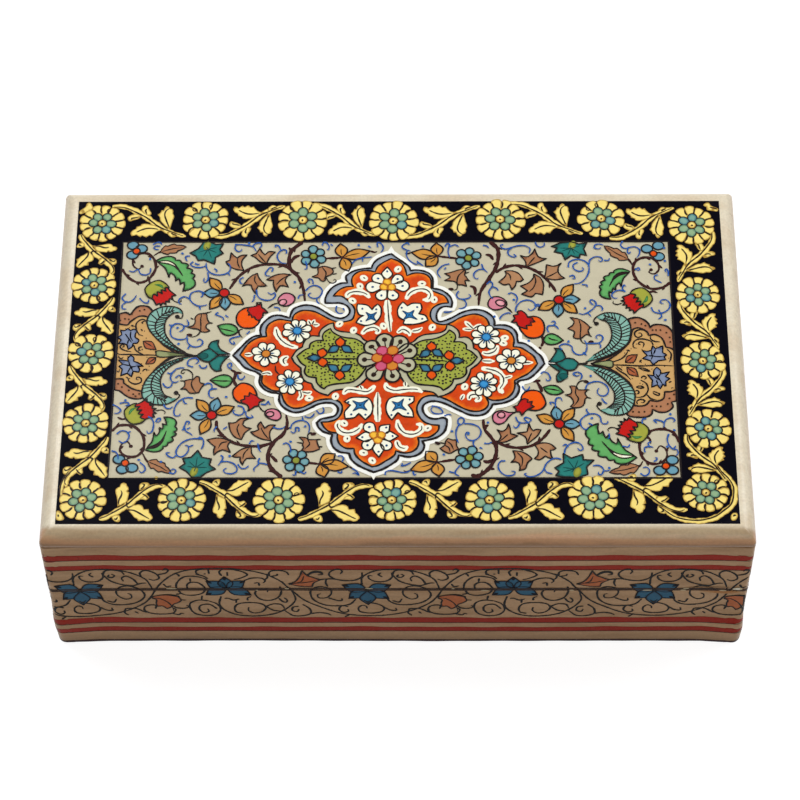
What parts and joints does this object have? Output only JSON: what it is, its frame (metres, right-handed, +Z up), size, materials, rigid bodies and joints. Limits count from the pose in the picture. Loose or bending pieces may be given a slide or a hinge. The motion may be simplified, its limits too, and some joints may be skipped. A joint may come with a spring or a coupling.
{
  "type": "papier mache box",
  "caption": "Low rectangular papier mache box with a lift-off lid that drops over a liner lip, rounded top edges and painted floral ornament.",
  "frame": {"origin": "middle of the underside, on the surface that the box stands on", "axes": "+X along the length, +Y to the back, +Z up through the lid"},
  "size_m": [0.178, 0.108, 0.0535],
  "materials": {
    "papier_mache_skin": "painted gesso under gloss varnish",
    "carcass_board": "softwood board, black lacquered where it shows inside",
    "liner_strip": "thin softwood strip, black lacquered",
    "brad": "bright steel, hidden under the skin"
  },
  "bodies": {
    "base": {"base_floor": "carcass_board", "base_skin": "papier_mache_skin", "base_wall_front": "carcass_board", "base_wall_back": "carcass_board", "base_wall_left": "carcass_board", "base_wall_right": "carcass_board", "liner_front": "liner_strip", "liner_back": "liner_strip", "liner_left": "liner_strip", "liner_right": "liner_strip", "base_corner_brads": "brad", "base_floor_brads": "brad"},
    "lid": {"lid_top_board": "carcass_board", "lid_skin": "papier_mache_skin", "lid_wall_front": "carcass_board", "lid_wall_back": "carcass_board", "lid_wall_left": "carcass_board", "lid_wall_right": "carcass_board", "lid_corner_brads": "brad", "lid_top_brads": "brad"}
  },
  "joints": [
    {"name": "lid_lift", "type": "slide", "parent": "base", "child": "lid", "axis": [0, 0, 1], "range_m": [0, 0.06]}
  ]
}
